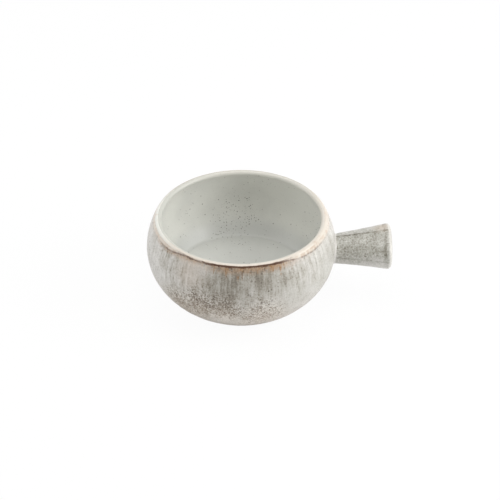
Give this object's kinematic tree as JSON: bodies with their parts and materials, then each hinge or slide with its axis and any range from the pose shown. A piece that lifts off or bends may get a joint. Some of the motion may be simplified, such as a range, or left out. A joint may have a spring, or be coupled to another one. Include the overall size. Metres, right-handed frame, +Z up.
{
  "type": "lug soup bowl",
  "caption": "Round-bellied glazed stoneware soup bowl with an incurved rim, a turned foot ring and one flared stub handle, for serving hot soup.",
  "frame": {"origin": "on the bowl's axis, at the centre of the foot ring, on the plane that the bowl stands on", "axes": "+Z up along the bowl's axis, +X along the lug, away from the bowl"},
  "size_m": [0.1744, 0.135, 0.065],
  "materials": {
    "stoneware": "bare fired stoneware, matt, fine grog",
    "slip": "fired slip, matt, under the glaze",
    "liner_glaze": "satin pale grey-green glaze with fine brown speckles",
    "lip_glaze": "cream satin glaze, thin over the rim",
    "outer_glaze": "glossy reactive glaze, white and grey streaks with rust breaks",
    "lug_glaze": "glossy reactive glaze, mottled grey-green with cream edges"
  },
  "bodies": {
    "root": {"bowl_body": "stoneware", "lug_handle": "stoneware", "slip_joint": "slip", "liner_glaze": "liner_glaze", "lip_glaze": "lip_glaze", "outer_glaze": "outer_glaze", "lug_glaze": "lug_glaze"}
  },
  "joints": []
}
